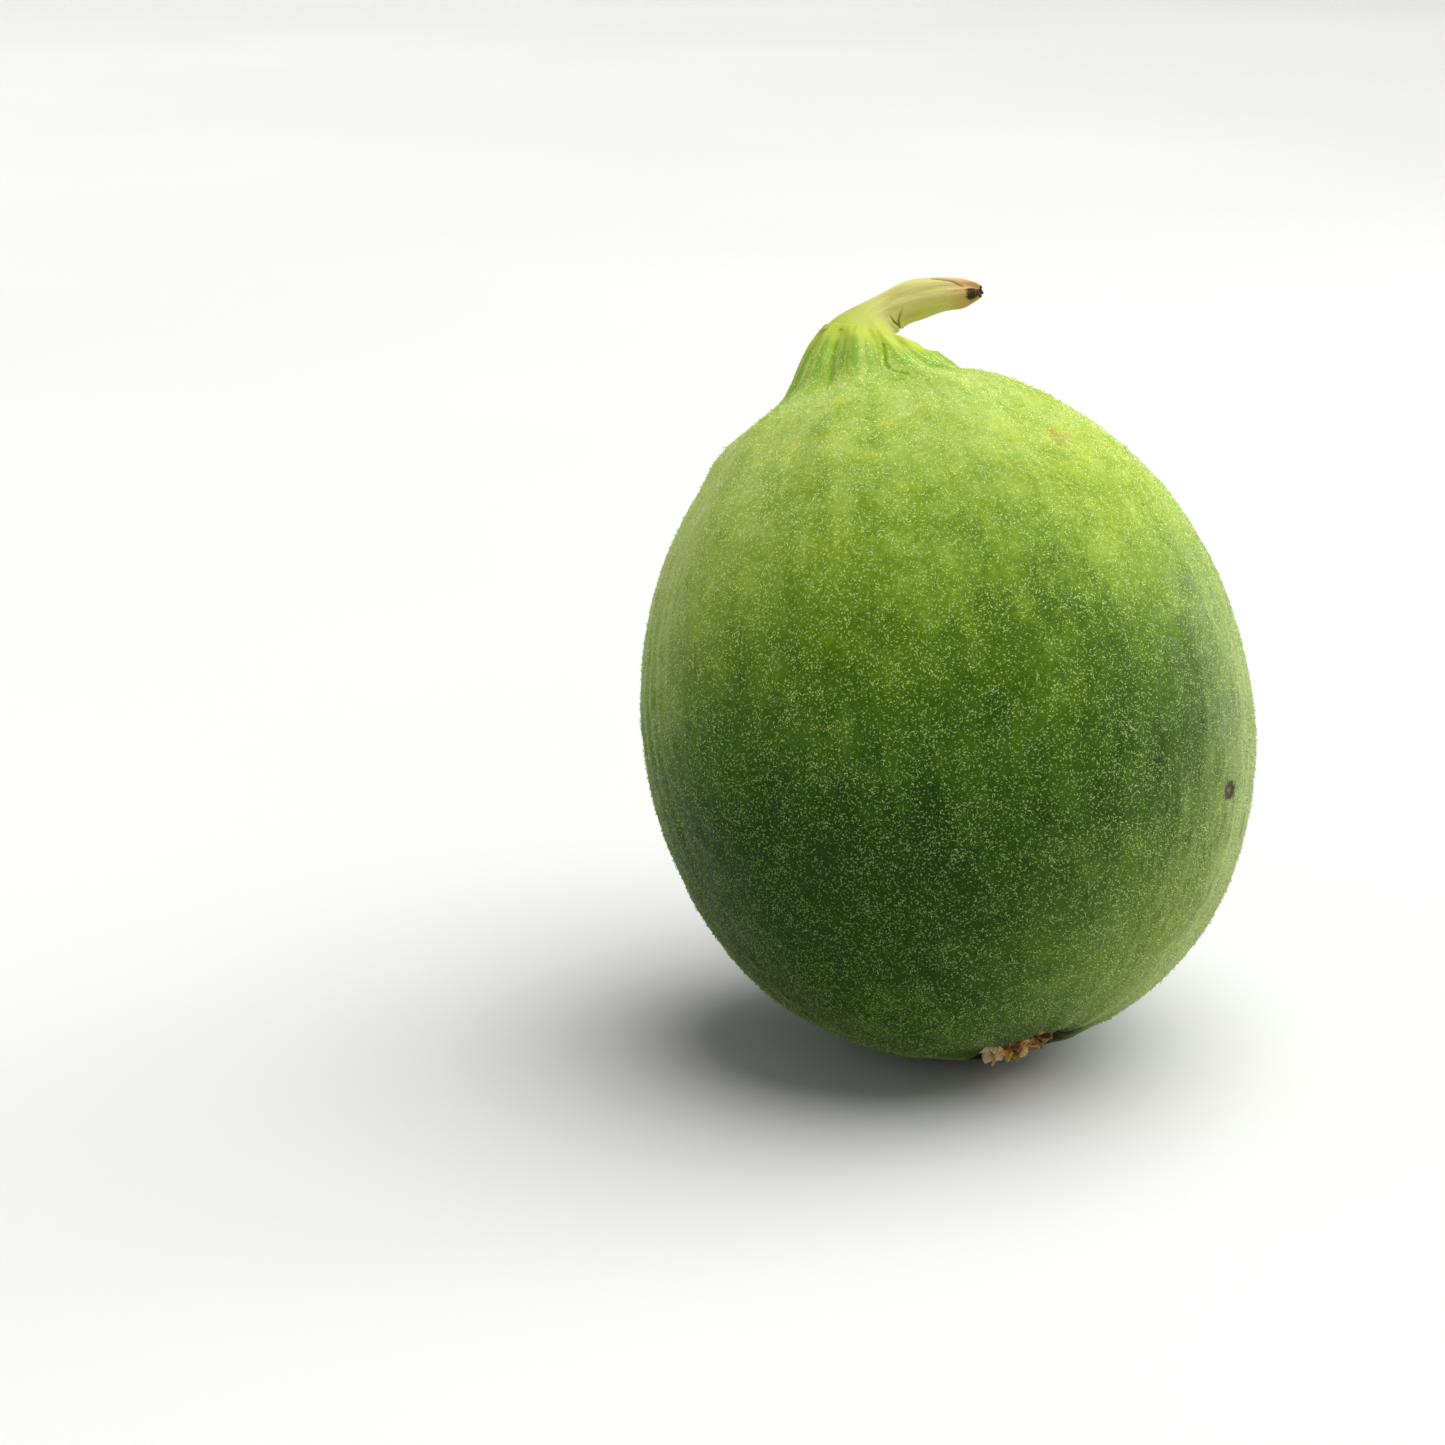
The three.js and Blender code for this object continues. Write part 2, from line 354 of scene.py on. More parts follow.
def collar_swelling(past_collar, angle):
    """Extra flesh above and below the collar, on the side that the stem bends to and behind it."""
    inner = np.maximum(0, np.cos(angle + SWELLING_TURN)) ** SWELLING_SHARPNESS
    outer = np.maximum(0, -np.cos(angle)) ** SWELLING_SHARPNESS
    swelling = SWELLING * inner * np.exp(-(((past_collar - SWELLING_RISE) / SWELLING_LENGTH) ** 2))
    return swelling + OUTER_SWELLING * outer * np.exp(-((past_collar / OUTER_SWELLING_LENGTH) ** 2))


def knee_bulge(along, angle):
    """The hump on the outer side of the stem's bend."""
    outer = np.maximum(0, -np.cos(angle)) ** SWELLING_SHARPNESS
    return KNEE * outer * np.exp(-(((along - KNEE_PLACE) / KNEE_LENGTH) ** 2))


def below_collar(height):
    return smoothstep(COLLAR_HEIGHT - height, 0, ROLL_DROP)


def rib_height(height, angle):
    neck_foot = COLLAR_HEIGHT - NECK_LENGTH
    depth = mix(BODY_RIB_DEPTH, NECK_FOLD_DEPTH, smoothstep(height, LOWER_LENGTH, neck_foot) ** 3)
    return depth * np.cos(RIB_COUNT * angle) * smoothstep(height, 0, RIB_FADE) * below_collar(height)


def roll_height(height, angle):
    along = (COLLAR_HEIGHT - ROLL_DROP - height) / ROLL_LENGTH
    around = np.maximum(0, np.cos(angle)) ** ROLL_SHARPNESS
    return ROLL_HEIGHT * np.exp(-(along**2)) * around * below_collar(height)


def body_points(height, angle, radius):
    """The fruit's outside in its own frame, before the fine relief."""
    turn = smoothstep(height, COLLAR_HEIGHT - TURN_LENGTH, COLLAR_HEIGHT)
    tilt = COLLAR_TILT * turn
    direction = np.stack([np.sin(tilt), 0 * tilt, np.cos(tilt)], axis=-1)
    centre = np.stack([COLLAR_OFFSET * turn, 0 * turn, np.minimum(height, COLLAR_HEIGHT)], axis=-1)
    centre = centre + direction * roll_height(height, angle)[..., None]

    # Above the collar the skin follows the stem from inside.
    stem_centre, stem_direction = stem_line(np.maximum(0, height - COLLAR_HEIGHT))
    past = (height > COLLAR_HEIGHT)[..., None]
    centre = np.where(past, stem_centre, centre)
    direction = np.where(past, stem_direction, direction)

    ribbed = radius + rib_height(height, angle) + collar_swelling(height - COLLAR_HEIGHT, angle)
    bulge_place = (COLLAR_HEIGHT - NECK_BULGE_DROP - height) / NECK_BULGE_LENGTH
    bulge_around = np.maximum(0, np.cos(angle - NECK_BULGE_ANGLE)) ** 2
    ribbed = ribbed + NECK_BULGE * bulge_around * np.exp(-(bulge_place**2))
    across = np.stack([ribbed * np.cos(angle), ribbed * np.sin(angle)], axis=-1)
    return on_rings(across, centre, direction)


def bezier(share, corners):
    """Points and unit directions along a cubic Bezier curve."""
    s = share[..., None]
    a, b, c, d = corners
    point = a * (1 - s) ** 3 + 3 * b * s * (1 - s) ** 2 + 3 * c * s**2 * (1 - s) + d * s**3
    slope = (b - a) * (1 - s) ** 2 + 2 * (c - b) * s * (1 - s) + (d - c) * s**2
    return point, slope / np.linalg.norm(slope, axis=-1, keepdims=True)


def stem_corners():
    start = np.array([COLLAR_OFFSET, 0, COLLAR_HEIGHT])
    collar_direction = np.array([math.sin(COLLAR_TILT), 0, math.cos(COLLAR_TILT)])
    tip = start + [STEM_REACH, -STEM_FORWARD, STEM_LIFT]
    bend = tip + [-STEM_BEND_REACH, STEM_BEND_FORWARD, STEM_DROOP]
    return start, start + STEM_RISE * collar_direction, bend, tip


def stem_marks():
    """Distances along the stem's middle line, for even steps of its curve."""
    points, _ = bezier(np.linspace(0, 1, 400), stem_corners())
    return np.concatenate([[0], np.cumsum(np.linalg.norm(np.diff(points, axis=0), axis=1))])


def stem_line(along):
    """Points and directions of the stem's middle line at distances past the collar."""
    marks = stem_marks()
    return bezier(np.interp(along, marks, np.linspace(0, 1, len(marks))), stem_corners())


# ------------------------ placing and making meshes


def lean(points):
    """Turns points from the fruit's own frame to the way it lies."""
    back, left = -LEAN_BACK, -LEAN_LEFT
    about_x = [[1, 0, 0], [0, math.cos(back), -math.sin(back)], [0, math.sin(back), math.cos(back)]]
    about_y = [[math.cos(left), 0, math.sin(left)], [0, 1, 0], [-math.sin(left), 0, math.cos(left)]]
    return points @ (np.array(about_x) @ np.array(about_y)).T


def find_place():
    """How far the leaned fruit moves so that it lies in the CAD fruit's box."""
    height = COLLAR_HEIGHT * (1 - np.cos(np.linspace(0.01, math.pi, 240))) / 2
    angle = np.linspace(0, 2 * math.pi, 360, endpoint=False)
    height, angle = np.meshgrid(height, angle, indexing="ij")
    leaned = lean(body_points(height, angle, body_radius(height))).reshape(-1, 3)
    low, high = leaned.min(0), leaned.max(0)
    box_low, box_high = (np.array(corner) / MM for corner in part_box("fruit"))
    move = (box_low + box_high - low - high) / 2
    move[2] = box_low[2] - REST_DEPTH - low[2]
    return move


PLACE = find_place()


def placed(points):
    return lean(points) + PLACE


def settle(points, softness=0.3):
    """Presses what would lie below the floor flat against it."""
    z = points[..., 2]
    points[..., 2] = (z + np.sqrt(z**2 + softness**2)) / 2
    return points


def tube_faces(rings, segments):
    """Faces of a tube of rings, closed by one more vertex at each end."""
    ring, segment = np.meshgrid(np.arange(rings - 1), np.arange(segments), indexing="ij")
    here = ring * segments + segment
    beside = ring * segments + (segment + 1) % segments
    quads = np.stack([here, beside, beside + segments, here + segments], axis=-1).reshape(-1, 4)
    first, last = rings * segments, rings * segments + 1
    top = (rings - 1) * segments
    bottom_fan = [(first, (i + 1) % segments, i) for i in range(segments)]
    top_fan = [(last, top + i, top + (i + 1) % segments) for i in range(segments)]
    return quads.tolist() + bottom_fan + top_fan


def normals_of(points):
    """Outward directions on a grid of rings."""
    around = np.roll(points, -1, axis=1) - np.roll(points, 1, axis=1)
    up = np.gradient(points, axis=0)
    out = np.cross(around, up)
    return out / np.maximum(np.linalg.norm(out, axis=-1, keepdims=True), 1e-9)


def make_piece(name, points, faces, material, slot, **values):
    """A smooth piece from points in millimetres, with a named value or vector at each vertex."""
    mesh = bpy.data.meshes.new(name)
    mesh.from_pydata((points * MM).tolist(), [], faces)
    mesh.shade_smooth()
    for key, value in values.items():
        if value.ndim == 1:
            mesh.attributes.new(key, "FLOAT", "POINT").data.foreach_set("value", value)
        else:
            spread = mesh.attributes.new(key, "FLOAT_VECTOR", "POINT")
            spread.data.foreach_set("vector", value.ravel())
    mesh.materials.append(material)
    piece = bpy.data.objects.new(name, mesh)
    bpy.context.collection.objects.link(piece)
    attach(piece, "root")
    return piece


def with_ends(grid, first, last):
    """The values of a grid of rings as a list, followed by those of its two end vertices."""
    flat = grid.reshape(-1, *grid.shape[2:])
    return np.concatenate([flat, [first], [last]])


def capped(grid):
    return with_ends(grid, grid[0].mean(0), grid[-1].mean(0))


# ------------------------ the fruit


def skin_heights():
    """Ring heights, close together on the neck and at the blossom end, wider over the body."""
    turn = np.linspace(0, math.pi, 6000)
    height = (COLLAR_HEIGHT + OVERLAP) * (1 - np.cos(turn)) / 2
    radius = body_radius(height)
    step = np.hypot(np.diff(height), np.diff(radius))
    middle = (height[1:] + height[:-1]) / 2
    spacing = mix(END_SPACING, BODY_SPACING, smoothstep(middle, 2, 12))
    neck = smoothstep(middle, COLLAR_HEIGHT - 24, COLLAR_HEIGHT - 13)
    spacing = mix(spacing, NECK_SPACING, neck)
    passed = np.concatenate([[0], np.cumsum(step / spacing)])
    return np.interp(np.arange(0.4, passed[-1], 1), passed, height)


def distance_to_path(height, angle, radius, path):
    """Distance in millimetres over the skin to a path of (height, angle in degrees)."""
    nearest = np.full(height.shape, 1e9)
    for (h0, a0), (h1, a1) in zip(path, path[1:]):
        middle = math.radians((a0 + a1) / 2)
        x = (np.remainder(angle - middle + math.pi, 2 * math.pi) - math.pi) * radius
        x0 = (math.radians(a0) - middle) * radius
        x1 = (math.radians(a1) - middle) * radius
        along = ((x - x0) * (x1 - x0) + (height - h0) * (h1 - h0)) / ((x1 - x0) ** 2 + (h1 - h0) ** 2)
        along = np.clip(along, 0, 1)
        gap = np.hypot(x - mix(x0, x1, along), height - mix(h0, h1, along))
        nearest = np.minimum(nearest, gap)
    return nearest


def crease_relief(height, angle, radius):
    """The depth of the creases and how deep in one each point is, from 0 to 1."""
    relief = np.zeros(height.shape)
    inside = np.zeros(height.shape)
    for path, width, depth in CREASES:
        gap = distance_to_path(height, angle, radius, path) / width
        relief += depth * (0.3 * np.exp(-((gap - 2.6) ** 2 / 2)) - np.exp(-(gap**2)))
        inside = np.maximum(inside, min(1, 4 * depth) * np.exp(-((gap * 0.7) ** 2)))
    return relief, inside


def neck_wrinkles(height, angle):
    """Fine lengthwise wrinkles, which fade down the neck and out onto the stem's flare."""
    below = smoothstep(height, COLLAR_HEIGHT - 24, COLLAR_HEIGHT - 8)
    above = 1 - smoothstep(height, COLLAR_HEIGHT - 1, COLLAR_HEIGHT + 3)
    circle = np.stack([9 * np.cos(angle), 9 * np.sin(angle), height * 0.13], axis=-1)
    return below * above * waves(circle, WRINKLES)


def side_ridges(height, angle):
    """The faint ridges that show on both flanks."""
    relief = np.zeros(height.shape)
    along = (height - FLANK_RIDGE_HEIGHT) / FLANK_RIDGE_LENGTH
    for middle, spacing in FLANK_RIDGES:
        offset = np.degrees(np.remainder(angle - math.radians(middle) + math.pi, 2 * math.pi) - math.pi)
        window = np.exp(-((offset / FLANK_RIDGE_SPREAD) ** 2)) * np.exp(-(along**2))
        relief += FLANK_RIDGE_DEPTH * window * np.cos(2 * math.pi * offset / spacing)
    return relief


def blossom_relief(points):
    """The crater that the dried flower sits in, its puckered rim, and how deep in it each point is, as a
    soft mask past the rim that also places painted shade.
    """
    offset = points[..., :2] - CRATER_CENTRE
    distance = np.hypot(offset[..., 0], offset[..., 1]) / CRATER_RADIUS
    around = np.arctan2(offset[..., 1], offset[..., 0])
    low = 1 - smoothstep(points[..., 2], 8, 16)
    circle = np.stack([6 * np.cos(around), 6 * np.sin(around), 0 * around], axis=-1)
    uneven = random_waves(circle, 3.2, 21)
    pit = -CRATER_DEPTH * (1 - smoothstep(distance + 0.06 * uneven, 0.45, 1.0))
    rim = 0.12 * np.exp(-(((distance - 1.15) / 0.2) ** 2)) * (1 + 0.6 * uneven)
    pucker = 0.12 * uneven * smoothstep(distance, 0.6, 1.0) * (1 - smoothstep(distance, 1.5, 2.6))
    return (pit + rim + pucker) * low, low * (1 - smoothstep(distance, 0.55, 1.45))


def scar_place(height, angle, radius):
    """How close each point is to the scar, from 0 to 1 at its middle."""
    along = (height - SCAR[0]) / SCAR_SIZE[0]
    across = (angle - math.radians(SCAR[1])) * radius / SCAR_SIZE[1]
    return np.exp(-(along**2 + across**2))


def paleness(points, height):
    """How pale the green is, from 0 at its darkest to 1: pale shoulders over a dark middle.
    The dark low part is partly the fruit's own colour and partly painted shade.
    """
    value = mix(0.15, 0.85, smoothstep(height, 28, 108)) + 0.12 * (1 - smoothstep(height, 0, 20))
    # The listed areas add paler and darker patches, two of them painted shadow
    return value + soft_areas(points, TONES_AND_PAINTED_SHADOWS)


def soft_areas(points, areas):
    """The sum of soft round areas, each (height, angle), size in millimetres and amount."""
    total = np.zeros(points.shape[:-1])
    for spot, size, amount in areas:
        gap = np.linalg.norm(points - skin_spot(*spot), axis=-1)
        total += amount * np.exp(-((gap / size) ** 2))
    return total


def make_skin(material):
    heights = skin_heights()
    angle = np.linspace(-math.pi, math.pi, SKIN_SEGMENTS, endpoint=False)
    height, angle = np.meshgrid(heights, angle, indexing="ij")
    past = np.maximum(0, height - COLLAR_HEIGHT)
    inside_stem = stem_radius(past, stem_marks()[-1]) - OVERLAP_DIP * past
    radius = np.where(past > 0, inside_stem, body_radius(height))
    points = body_points(height, angle, radius)
    creases, crease_depth = crease_relief(height, angle, radius)
    blossom, pit_depth = blossom_relief(points)
    scar = scar_place(height, angle, radius)
    uneven = (waves(points, LUMPS) + waves(points, GRAIN)) * smoothstep(height, 3, 14)
    relief = creases + blossom + neck_wrinkles(height, angle) + side_ridges(height, angle)
    relief += uneven - SCAR_DEPTH * scar + soft_areas(points, DENTS)
    normals = normals_of(points)
    shaped = points + normals * relief[..., None]
    settled = settle(placed(shaped))
    streak = np.stack([30 * np.cos(angle), 30 * np.sin(angle), height * 0.14], axis=-1)
    pale, dusty = paleness(points, height), soft_areas(points, DUST_AND_SHEEN_AREAS)
    piece = make_piece(
        "cucumber_skin",
        capped(settled),
        tube_faces(*height.shape),
        material,
        "fruit_skin",
        height=with_ends(height / COLLAR_HEIGHT, 0, 1),
        streak=capped(streak),
        crease=with_ends(crease_depth, 0, 0),
        pit=with_ends(pit_depth, 1, 0),
        pale=with_ends(pale, 0.3, 1),
        dusty=with_ends(dusty, 0, 0),
        own=capped(np.stack([points[..., 0], points[..., 1], height], axis=-1)),
    )
    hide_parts("fruit")
    bare = np.maximum(smoothstep(scar, 0.1, 0.3), smoothstep(pit_depth, 0.35, 0.7))
    return {"height": height, "points": settled, "pale": pale, "dusty": dusty, "bare": bare}


# ------------------------ the stem


def stem_folds(along, angle, radius, length):
    """The folds inside the bend and the crack near the tip: their relief, and where they are."""
    gap = np.full(along.shape, 1e9)
    for path in PINCHES:
        gap = np.minimum(gap, distance_to_path(along, angle, radius, path))
    lips = 0.1 * np.exp(-(((gap - 0.6) / 0.4) ** 2))
    pinch = lips - PINCH_DEPTH * np.exp(-((gap / PINCH_WIDTH) ** 2))
    pinch = pinch * smoothstep(angle, -1.5, -0.6) * smoothstep(along, 0, STEM_FLARE_LENGTH)
    crack = distance_to_path(along - length, angle, radius, CRACK) / CRACK_WIDTH
    crack = np.exp(-(crack**2))
    shown = np.exp(-((gap / 0.2) ** 2)) * smoothstep(angle, -1.5, -0.7) + crack
    return pinch - CRACK_DEPTH * crack, shown


def stem_relief(along, angle, circle, dry):
    """The stem's ribs, grooves and lumps, which are stronger where it has dried."""
    clear = smoothstep(along, 0, STEM_FLARE_LENGTH)
    ribs = STEM_RIB_DEPTH * np.cos(STEM_RIB_COUNT * angle) * clear
    lumps = waves(circle * [1, 1, 3], STEM_LUMPS)
    uneven = (waves(circle, GROOVES) + lumps) * clear * (1 + DRY_ROUGHNESS * dry)
    return ribs + uneven + collar_swelling(along, angle) + knee_bulge(along, angle)


def stem_end(rim, direction):
    """Rings that roll over the rim and shrink into a ragged hollow, and how far in each is."""
    inward = np.linspace(0.06, 0.97, STEM_END_RINGS)[:, None, None]
    middle = rim.mean(0)[None, None]
    rolled = 0.35 * np.sin(np.clip(inward * 7, 0, math.pi)) - 0.7 * smoothstep(inward, 0.25, 1)
    end = mix(rim[None], middle, inward) + direction * rolled
    end += waves(end, CUT_ROUGHNESS)[..., None] * direction
    return end, np.broadcast_to(inward[..., 0], end.shape[:2])


def make_stem(material):
    length = stem_marks()[-1]
    along = np.linspace(-OVERLAP, length, STEM_RINGS)
    centre, direction = stem_line(along)
    centre = centre + direction * np.minimum(0, along)[:, None]
    angle = np.linspace(-math.pi, math.pi, STEM_SEGMENTS, endpoint=False)
    along, angle = np.meshgrid(along, angle, indexing="ij")

    inside = body_radius(COLLAR_HEIGHT + np.minimum(0, along)) + OVERLAP_DIP * np.minimum(0, along)
    radius = np.where(along < 0, inside, stem_radius(np.maximum(0, along), length))
    circle = np.stack([4 * np.cos(angle), 4 * np.sin(angle), along * 0.2], axis=-1)
    dry = smoothstep(along, length - DRY_LENGTH, length - 0.5)
    fold_relief, folds = stem_folds(along, angle, radius, length)
    radius = radius + stem_relief(along, angle, circle, dry) + fold_relief
    radius += neck_wrinkles(COLLAR_HEIGHT + along, angle) - DRY_SHRINKAGE * dry

    across = np.stack([radius * np.cos(angle), radius * np.sin(angle)], axis=-1)
    points = on_rings(across, centre[:, None, :], direction[:, None, :])

    # The cut is slanted a little: its front, lower side is shorter, and that side is charred.
    facing = 0.5 + 0.5 * np.cos(angle + 1.1)
    slant = TIP_SLANT * smoothstep(along, length - 6, length) ** 1.5 * facing
    points = points - direction[:, None, :] * slant[..., None]
    scorch = 0.75 * smoothstep(along, length - SCORCH_LENGTH, length - 0.6)
    scorch = scorch * smoothstep(facing, 0.62, 0.95)

    end, inward = stem_end(points[-1], direction[-1])
    charred = mix(smoothstep(inward, 0.1, 0.4), 1, facing[-1] ** 2)
    shape = np.concatenate([points, end])
    flat = np.zeros(inward.shape)
    piece = make_piece(
        "cucumber_stem",
        placed(capped(shape)),
        tube_faces(*shape.shape[:2]),
        material,
        "green_stem",
        along=with_ends(np.concatenate([along, flat + length]) / length, 0, 1),
        dry=with_ends(np.concatenate([dry, flat + 1]), 0, 1),
        black=with_ends(np.concatenate([scorch, charred]), 0, 1),
        crease=with_ends(np.concatenate([folds, flat]), 0, 0),
        streak=capped(np.concatenate([circle, np.repeat(circle[-1:], len(end), 0)])),
    )
    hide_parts("stem")


# ------------------------ the dried flower


def make_flake(turn, reach, width, height, curl, seed):
    """One withered petal as a grid of points round the seat, from its middle outwards."""
    chance = np.random.default_rng(SEED * 100 + seed)
    rows, columns = np.linspace(0, 1, PETAL_ROWS), np.linspace(-1, 1, PETAL_COLUMNS)
    out, across = np.meshgrid(rows, columns, indexing="ij")
    place = np.stack([across * 2.5, out * 5, 0 * out + 9 * seed], axis=-1)
    ragged = 0.06 * random_waves(place, 2.6, seed)
    distance = PETAL_START + (reach - PETAL_START) * out * (1 - 0.25 * across**2 * out + ragged * out)
    side = across * width * (0.35 + 0.65 * np.sin(math.pi * np.clip(out * 0.8 + 0.1, 0, 1)))
    folds = 0.4 * np.sin(across * chance.uniform(3, 5) + chance.uniform(0, 6)) * out
    crumple = 0.42 * random_waves(place, 3.4, seed + 1) + 0.13 * random_waves(place, 1.5, seed + 2)
    x = distance * math.cos(turn) - side * math.sin(turn)
    z = height - curl * out**1.5 + folds + crumple * (0.3 + out) + FLOWER_TILT * np.maximum(x, -1)
    y = distance * math.sin(turn) + side * math.cos(turn) + FLOWER_CENTRE[1]
    x = x + FLOWER_CENTRE[0]
    return np.stack([x, y, z], axis=-1), out


def sheet_faces(rows, columns, start):
    row, column = np.meshgrid(np.arange(rows - 1), np.arange(columns - 1), indexing="ij")
    here = start + row * columns + column
    return np.stack([here, here + 1, here + columns + 1, here + columns], axis=-1).reshape(-1, 4)


def make_flower(material):
    """The withered petals, crumpled over the pit in layers, the widest one deepest."""
    chance = np.random.default_rng(SEED)
    points, faces, outs, tones = [], [], [], []
    count = 0
    for layer, (number, reach, width, height, curl) in enumerate(PETAL_LAYERS):
        for i in range(number):
            turn = 2 * math.pi * (i + 0.43 * layer + 0.2) / number + chance.uniform(-0.15, 0.15)
            longer, wider, bent = chance.uniform(0.88, 1.12, 3)
            seed = 40 + 10 * layer + i
            flake, out = make_flake(turn, reach * longer, width * wider, height, curl * bent, seed)
            points.append(flake.reshape(-1, 3))
            faces.append(sheet_faces(*out.shape, count))
            outs.append(out.ravel())
            lightness = 0.68 - 0.38 * math.cos(turn + 0.4) + chance.uniform(-0.12, 0.12)
            tones.append(np.full(out.size, lightness))
            count += out.size
    settled = placed(np.concatenate(points))
    settled[:, 2] = np.maximum(settled[:, 2], PETAL_CLEARANCE)
    piece = make_piece(
        "dried_flower",
        settled,
        np.concatenate(faces).tolist(),
        material,
        "dried_petals",
        outward=np.concatenate(outs),
        tone=np.concatenate(tones),
    )
    thick = piece.modifiers.new("thickness", "SOLIDIFY")
    thick.thickness = PETAL_THICKNESS * MM
    thick.offset = 0
    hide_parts("blossom_remnant")


# ------------------------ the down


def scatter(skin, low, high, number, seed):
    """Random places on the skin between two heights: place, outward direction, paleness, and the grey of
    dense down and painted sheen.
    """
    chance = np.random.default_rng(SEED * 10 + seed)
    height, points = skin["height"], skin["points"]
    rows = np.nonzero((height[:-1, 0] >= low) & (height[:-1, 0] < high))[0]
    here = points[rows]
    right = np.roll(points, -1, axis=1)[rows]
    up = points[rows + 1]
    area = np.linalg.norm(np.cross(right - here, up - here), axis=-1)
    patchy = np.clip(1 + 0.22 * random_waves(here, 8, 61) + 0.15 * random_waves(here, 2.5, 62), 0.2, 3)
    weight = (area * patchy * (1 - skin["bare"][rows])).ravel()
    picked = chance.choice(weight.size, number, p=weight / weight.sum())
    row, column = np.unravel_index(picked, area.shape)
    a, b = chance.uniform(0, 1, (2, number, 1))
    spot = here[row, column] + a * (right - here)[row, column] + b * (up - here)[row, column]
    out = normals_of(points)[rows][row, column]
    return spot, out, skin["pale"][rows][row, column], skin["dusty"][rows][row, column], chance


def random_lean(out, chance):
    """Two directions across the outward one: a random one, and one square to both."""
    aside = np.cross(out, chance.normal(size=out.shape))
    aside /= np.linalg.norm(aside, axis=1, keepdims=True)
    return aside, np.cross(out, aside)


def make_hairs(name, material, skin, low, high, number, seed):
    """Short bent hairs that lie over, each a thin three-sided spike of two stretches."""
    spot, out, pale, dusty, chance = scatter(skin, low, high, number, seed)
    aside, third = random_lean(out, chance)
    length = np.clip(chance.lognormal(math.log(HAIR_LENGTH), 0.35, (number, 1)), *HAIR_LIMITS)
    slope = chance.uniform(0.75, 1.35, (number, 1))
    rise = out * np.cos(slope) + aside * np.sin(slope)
    sway = chance.normal(0, 0.5, (number, 1))
    droop = chance.uniform(-0.1, 0.3, (number, 1))
    over = rise + third * sway - out * droop
    thick = chance.uniform(*HAIR_THICKNESS, (number, 1))
    middle = spot + rise * length * 0.5
    corners = []
    for place, size in ((spot - out * 0.03, 1.0), (middle, 0.9)):
        for turn in range(3):
            swing = 2 * math.pi * turn / 3
            rim = third * math.cos(swing) + np.cross(rise, third) * math.sin(swing)
            corners.append(place + thick * size * rim)
    corners.append(middle + over * length * 0.5)
    start = 7 * np.arange(number)[:, None]
    quads = np.concatenate([start + [i, (i + 1) % 3, 3 + (i + 1) % 3, 3 + i] for i in range(3)])
    spikes = np.concatenate([start + [3 + i, 3 + (i + 1) % 3, 6] for i in range(3)])
    finish_down(name, material, corners, quads.tolist() + spikes.tolist(), pale, dusty, chance)


def make_stubble(name, material, skin, low, high, number, seed):
    """Stubs of hair too short to bend: low three-sided cones that show as pale dots."""
    spot, out, pale, dusty, chance = scatter(skin, low, high, number, seed)
    aside, third = random_lean(out, chance)
    size = np.clip(chance.lognormal(math.log(STUBBLE_SIZE), 0.3, (number, 1)), *STUBBLE_LIMITS)
    corners = []
    for turn in range(3):
        swing = 2 * math.pi * turn / 3
        rim = aside * math.cos(swing) * 1.3 + third * math.sin(swing)
        corners.append(spot + size * rim - out * 0.02)
    corners.append(spot + (out * 0.5 + aside * 0.5) * size)
    start = 4 * np.arange(number)[:, None]
    sides = np.concatenate([start + [i, (i + 1) % 3, 3] for i in range(3)])
    finish_down(name, material, corners, sides.tolist(), pale, dusty, chance)


def finish_down(name, material, corners, faces, pale, dusty, chance):
    points = np.stack(corners, axis=1).reshape(-1, 3)
    points[:, 2] = np.maximum(points[:, 2], FLOOR_GAP)
    # The hairs follow the skin's paleness, so they are dimmer where shade is painted on it and greyer
    # where sheen is painted on the flanks
    tone = np.repeat(pale + chance.uniform(-0.22, 0.22, len(pale)), len(corners))
    dust = np.repeat(np.clip(dusty, 0, 1), len(corners))
    piece = make_piece(name, points, faces, material, "fruit_skin", tone=tone, dusty=dust)
    piece.visible_shadow = False


# ------------------------ materials


def colour(code):
    """A linear colour from a hex code."""
    parts = [int(code[i : i + 2], 16) / 255 for i in (1, 3, 5)]
    return tuple(c / 12.92 if c <= 0.04045 else ((c + 0.055) / 1.055) ** 2.4 for c in parts) + (1.0,)


